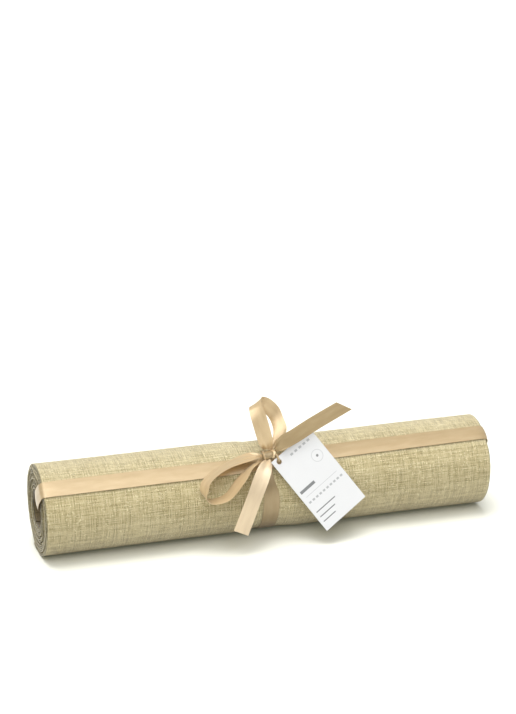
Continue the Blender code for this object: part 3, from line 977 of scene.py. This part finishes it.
def makeKnot():
    look = knotLook
    edges = [[], []]
    narrow, wider = look["squeeze"]
    for turn in np.linspace(look["start"], look["stop"], look["steps"]):
        squeeze = narrow + wider * math.sin(math.radians(turn)) ** 2
        edges[0].append(knotPlace(-look["half"] * squeeze, turn))
        edges[1].append(knotPlace(look["half"] * squeeze, turn))
    # the wrap wears the brighter copy of the satin: painted light
    wrap, length = addRibbon("knotWrap", edges[1], edges[0], look, satinLoopPaintedLight)
    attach(wrap, "roll")
    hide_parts("knot")
    # a lumpy core fills the wrap
    points, faces, uvs = [], [], []
    rings, sides = look["rings"], look["sides"]
    for i in range(rings):
        x = -1 + 2 * i / (rings - 1)
        size = (1 - abs(x) ** 5) ** 0.35 * 0.93 + 0.02
        for k in range(sides):
            turn = 360 * k / sides
            lump = 1 + look["lump"] * math.sin(3 * math.radians(turn) + 4 * x)
            shrink = -(1 - size * lump) * look["out"]
            points.append(knotPlace(x * (look["half"] + look["corePast"]), turn, shrink - look["coreInset"]))
            uvs.append((k * 0.7, i))
    for i in range(rings - 1):
        for k in range(sides):
            a, b = i * sides, (i + 1) * sides
            faces.append((a + k, b + k, b + (k + 1) % sides, a + (k + 1) % sides))
    faces.append(tuple(range(sides)))
    faces.append(tuple((rings - 1) * sides + k for k in range(sides))[::-1])
    # painted shade: the core inside the wrap wears the darker copy of the satin
    core = addMesh("knotCore", points, faces, uvs, satinPaintedShade, 60)
    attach(core, "roll")


makeKnot()
makeBowPiece("upperLoop", upperLoop, offRoll, (0, 1, 0), "upper_loop")
makeBowPiece("leftLoop", leftLoop, onRoll, (-1, 0, 0), "left_loop")
makeBowPiece("lowerTail", lowerTail, onRoll, (0, -1, 0), "lower_tail")
makeBowPiece("rightTail", rightTail, offRoll, (1, 0, 0), "right_tail")
print("bow tied")


# hang tag

tagLook = {
    "width": 34.5,
    "length": 57.0,
    "thickness": 0.42,
    "holeRadius": 1.75,
    "toEnd": 3.0,
    "toSide": 4.5,
    "lean": 25.0,
    "turn": 33.2,
    "bow": 0.21,            # the card is not quite flat, mm
    "bowRate": 0.055,
    "twist": 0.15,
    "twistRate": 0.09,
    "flatNear": 12,         # mm around the hole
    "card": (0.735, 0.74, 0.75, 1),
    "ink": (0.16, 0.165, 0.17, 1),
    "greyInk": (0.40, 0.41, 0.42, 1),
    "fibreScale": 2.2,
    "mottleScale": 0.12,
    "bumpDepth": 0.00003,
    "inkShare": 0.92,       # how much of each ink's colour shows
    "ringShare": 0.5,
    "dotShare": 0.85,
    "inkEdge": 0.12,        # mm over which the ink fades out
    "ringAt": (22.3, 13.1),
    "ringRadius": 3.9,
    "ringHalf": 0.28,
    "dotRadius": 0.95,
    # printed bars: across, down, long, high, all in mm from the hole
    "darkBars": ((3.7, 24.6, 12.4, 2.1),),
    "greyBars": ((12.3, 28.9, 27.0, 0.34),
                 *((-1.1 + 3.05 * i, 33.0, 1.9, 1.5) for i in range(10)),
                 *((9.6 + 3.6 * i, 1.6, 2.2, 1.6) for i in range(5))),
    "smallBars": ((6.0, 40.6, 16.5, 0.85), (4.4, 44.4, 13.2, 0.85), (3.0, 48.1, 10.6, 0.85)),
    "sides": 96,
    "rings": 14,
}
tagHole = np.array(joints["tag_swivel"]["pos_m"], float)
cordTop = np.array(joints["tag_lift"]["pos_m"], float)


def tagAxes():
    lean, turn = math.radians(tagLook["lean"]), math.radians(tagLook["turn"])
    up = np.array([0, math.sin(lean), math.cos(lean)])
    out = np.array([0, -math.cos(lean), math.sin(lean)])
    side = np.array([1.0, 0, 0])
    across = side * math.cos(turn) + up * math.sin(turn)
    down = side * math.sin(turn) - up * math.cos(turn)
    return across, down, out


def tagPlace(across, down, out=0.0):
    sideways, downward, outward = tagAxes()
    return tagHole + (sideways * across + downward * down + outward * out) * mm


def makeInkGroup():
    group, entry, leave = makeGroup("inkBar", [
        ("Place", "NodeSocketVector", None),
        ("Across", "NodeSocketFloat", 0.0), ("Down", "NodeSocketFloat", 0.0),
        ("Long", "NodeSocketFloat", 1.0), ("High", "NodeSocketFloat", 1.0),
    ], [("Mask", "NodeSocketFloat")])
    split = addNode(group, "ShaderNodeSeparateXYZ", {0: entry.outputs["Place"]})
    sides = []
    for axis, centre, size in (("X", "Across", "Long"), ("Y", "Down", "High")):
        off = maths(group, "ABSOLUTE", maths(group, "SUBTRACT", split.outputs[axis], entry.outputs[centre]))
        half = maths(group, "MULTIPLY", entry.outputs[size], 0.5)
        sides.append(maths(group, "DIVIDE", maths(group, "SUBTRACT", half, off), tagLook["inkEdge"], clamp=True))
    group.links.new(maths(group, "MULTIPLY", *sides), leave.inputs["Mask"])
    return group


def makeCardMaterial():
    look = tagLook
    material, tree, shader = newMaterial("tagCard")
    place = addNode(tree, "ShaderNodeUVMap", uv_map="cloth").outputs[0]
    bar = makeInkGroup()
    fibre = noiseAt(tree, place, look["fibreScale"], 4.0)
    mottled = noiseAt(tree, place, look["mottleScale"], 1.0)
    tint = maths(tree, "MULTIPLY_ADD", fibre, 0.03, maths(tree, "MULTIPLY_ADD", mottled, 0.03, 0.96))
    colour = addNode(tree, "ShaderNodeVectorMath", {0: look["card"][:3], "Scale": tint}, operation="SCALE").outputs[0]

    def addInk(bars, ink, colour):
        masks = [useGroup(tree, bar, Place=place, Across=a, Down=d, Long=long, High=high).outputs[0]
                 for a, d, long, high in bars]
        total = masks[0]
        for mask in masks[1:]:
            total = maths(tree, "MAXIMUM", total, mask)
        return mixColours(tree, maths(tree, "MULTIPLY", total, look["inkShare"]), colour, ink)

    split = addNode(tree, "ShaderNodeSeparateXYZ", {0: place})
    offX = maths(tree, "SUBTRACT", split.outputs["X"], look["ringAt"][0])
    offY = maths(tree, "SUBTRACT", split.outputs["Y"], look["ringAt"][1])
    squares = maths(tree, "ADD", maths(tree, "MULTIPLY", offX, offX), maths(tree, "MULTIPLY", offY, offY))
    far = maths(tree, "SQRT", squares)
    rim = maths(tree, "ABSOLUTE", maths(tree, "SUBTRACT", far, look["ringRadius"]))
    ring = maths(tree, "DIVIDE", maths(tree, "SUBTRACT", look["ringHalf"], rim), look["inkEdge"], clamp=True)
    dot = maths(tree, "DIVIDE", maths(tree, "SUBTRACT", look["dotRadius"], far), look["inkEdge"], clamp=True)
    colour = mixColours(tree, maths(tree, "MULTIPLY", ring, look["ringShare"]), colour, look["greyInk"])
    colour = mixColours(tree, maths(tree, "MULTIPLY", dot, look["dotShare"]), colour, look["ink"])
    colour = addInk(look["darkBars"], look["ink"], colour)
    colour = addInk(look["greyBars"], look["greyInk"], colour)
    colour = addInk(look["smallBars"], look["ink"], colour)
    tree.links.new(colour, shader.inputs["Base Color"])
    rough = maths(tree, "MULTIPLY_ADD", fibre, 0.2, 0.5)
    tree.links.new(rough, shader.inputs["Roughness"])
    addBump(tree, shader, fibre, look["bumpDepth"], 0.5)
    return material


def makeTag():
    look = tagLook
    low = (-look["toSide"], -look["toEnd"])
    high = (look["width"] - look["toSide"], look["length"] - look["toEnd"])
    sides, rings = look["sides"], look["rings"]
    flat = []
    for i in range(rings + 1):
        share = (i / rings) ** 1.5
        for k in range(sides):
            turn = 2 * math.pi * (k + 0.5) / sides
            ray = (math.cos(turn), math.sin(turn))
            reach = min((high[a] if ray[a] > 0 else low[a]) / ray[a] for a in range(2))
            edge = [reach * ray[0], reach * ray[1]]
            for corner in ((low[0], low[1]), (high[0], low[1]), (high[0], high[1]), (low[0], high[1])):
                # the spoke nearest each corner runs right into it
                if abs(math.atan2(corner[1], corner[0]) - math.atan2(ray[1], ray[0])) < math.pi / sides:
                    edge = list(corner)
            hole = [look["holeRadius"] * ray[0], look["holeRadius"] * ray[1]]
            flat.append([hole[a] + (edge[a] - hole[a]) * share for a in range(2)])
    points, uvs, faces = [], [], []
    half = look["thickness"] / 2
    size = len(flat)
    for out in (half, -half):
        for across, down in flat:
            bend = look["bow"] * math.sin(down * look["bowRate"]) + look["twist"] * math.sin(across * look["twistRate"])
            points.append(tagPlace(across, down, out + bend * min(1.0, math.hypot(across, down) / look["flatNear"])))
            uvs.append((across, down))
    for i in range(rings):
        for k in range(sides):
            a, b = i * sides + k, i * sides + (k + 1) % sides
            c, d = b + sides, a + sides
            faces += [(a, b, c, d), (d + size, c + size, b + size, a + size)]
    for k in range(sides):
        a, b = k, (k + 1) % sides
        faces.append((b, a, a + size, b + size))
        a, b = a + rings * sides, b + rings * sides
        faces.append((a, b, b + size, a + size))
    card = addMesh("hangTag", points, [face[::-1] for face in faces], uvs, makeCardMaterial(), 35)
    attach(card, "tag_card")
    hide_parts("tag_card")


tagStrand = {
    "ply": 0.00042,
    "twistRadius": 0.00036,
    "twists": 7,
    "bend": 0.001,
    "past": 0.0008,         # how far past the hole's middle it turns back
    "steps": 150,
}


def makeStrand():
    # a closed loop from the knot's side through the card's hole, of two twisted plies
    look = tagStrand
    run = cordTop - tagHole
    length = np.linalg.norm(run)
    heading, outward = run / length, tagAxes()[2]
    bend = look["bend"]
    seat = look["past"] + bend
    corners = []
    for facing, place in ((-1, seat), (1, length)):
        for step in range(13):
            turn = math.pi * (step / 12 - 0.5)
            reach = place + facing * bend * math.cos(turn)
            corners.append(tagHole + heading * reach + outward * facing * bend * math.sin(turn))
    corners = np.array(corners + corners[:1])
    far = np.concatenate([[0], np.cumsum(np.linalg.norm(np.diff(corners, axis=0), axis=1))])
    spots = np.linspace(0, far[-1], look["steps"], endpoint=False)
    path = np.stack([np.interp(spots, far, corners[:, a]) for a in range(3)], -1)
    ahead = unit(np.roll(path, -1, 0) - np.roll(path, 1, 0))
    side = unit(np.cross(heading, outward))
    other = np.cross(ahead, side)
    for ply in range(2):
        swing = 2 * math.pi * (look["twists"] * spots / far[-1] + ply / 2)
        line = path + look["twistRadius"] * (np.cos(swing)[:, None] * side + np.sin(swing)[:, None] * other)
        piece = addTube(f"tagStrand{ply + 1}", line, look["ply"], satin, 8, closed=True)
        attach(piece, "tag_cord")
    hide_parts("tag_cord")


makeTag()
makeStrand()
print("tag hung")


# floor, light and camera

studio = {
    "floorSize": 14,
    "floorRoughness": 0.9,
    "floorSpecular": 0.1,
    # the floor's yellow tint shows only in the shadow, where it stands for light bounced off the cloth: painted light
    "floor": (0.95, 0.95, 0.88, 1),
    "exposed": 0.86,        # how bright the floor is to the eye
    # a faint olive glow that only the camera sees: painted light that lifts the shadow
    "lift": (0.05, 0.052, 0.035, 1),
    "sky": (1.0, 1.0, 1.0, 1),
    "skyStrength": 0.33,
    "bounce": 0.74,          # how much light the floor gives back to the roll
    "suns": (
        # name, where the light comes from, strength, softness in degrees, colour
        ("topLight", (-0.12, 0.10, 1.0), 2.8, 38, (1.0, 0.99, 0.97)),
        ("frontLight", (-0.20, -0.62, 1.0), 1.7, 60, (0.98, 0.99, 1.0)),
    ),
}


def makeStudio():
    look = studio
    bpy.ops.mesh.primitive_plane_add(size=look["floorSize"], location=(0, 0, 0))
    floor = bpy.context.object
    floor.name = "floor"
    material, tree, shader = newMaterial("paleFloor")
    seen = addNode(tree, "ShaderNodeLightPath").outputs["Is Camera Ray"]
    dim, bright = ([value * look[key] for value in look["floor"][:3]] + [1] for key in ("bounce", "exposed"))
    tree.links.new(mixColours(tree, seen, dim, bright), shader.inputs["Base Color"])
    # the glow that lifts the shadow is painted light, seen only by the camera
    tree.links.new(mixColours(tree, seen, (0, 0, 0, 1), look["lift"]), shader.inputs["Emission Color"])
    shader.inputs["Emission Strength"].default_value = 1.0
    shader.inputs["Roughness"].default_value = look["floorRoughness"]
    shader.inputs["Specular IOR Level"].default_value = look["floorSpecular"]
    floor.data.materials.append(material)
    world = bpy.data.worlds.new("studioAir")
    world.use_nodes = True
    sky = world.node_tree.nodes["Background"]
    sky.inputs["Color"].default_value = look["sky"]
    sky.inputs["Strength"].default_value = look["skyStrength"]
    bpy.context.scene.world = world
    for name, source, strength, softness, colour in look["suns"]:
        lamp = bpy.data.lights.new(name, "SUN")
        lamp.energy, lamp.angle, lamp.color = strength, math.radians(softness), colour
        light = bpy.data.objects.new(name, lamp)
        light.location = source
        light.visible_glossy = name == "frontLight"
        light.rotation_euler = Vector(source).to_track_quat("Z", "Y").to_euler()
        bpy.context.scene.collection.objects.link(light)
    bpy.context.scene.view_settings.view_transform = "Standard"


cameraView = {
    "place": (-0.41592, -1.29029, 0.57075),
    "look": (0.28940542, 0.902901, -0.31782744),
    "lens": 112.45,
    "sensor": 36,
}


def makeCamera():
    view = bpy.data.cameras.new("camera")
    view.lens = cameraView["lens"]
    view.sensor_width = cameraView["sensor"]
    camera = bpy.data.objects.new("camera", view)
    camera.location = cameraView["place"]
    camera.rotation_euler = Vector(cameraView["look"]).to_track_quat("-Z", "Y").to_euler()
    bpy.context.scene.collection.objects.link(camera)
    bpy.context.scene.camera = camera


makeStudio()
makeCamera()
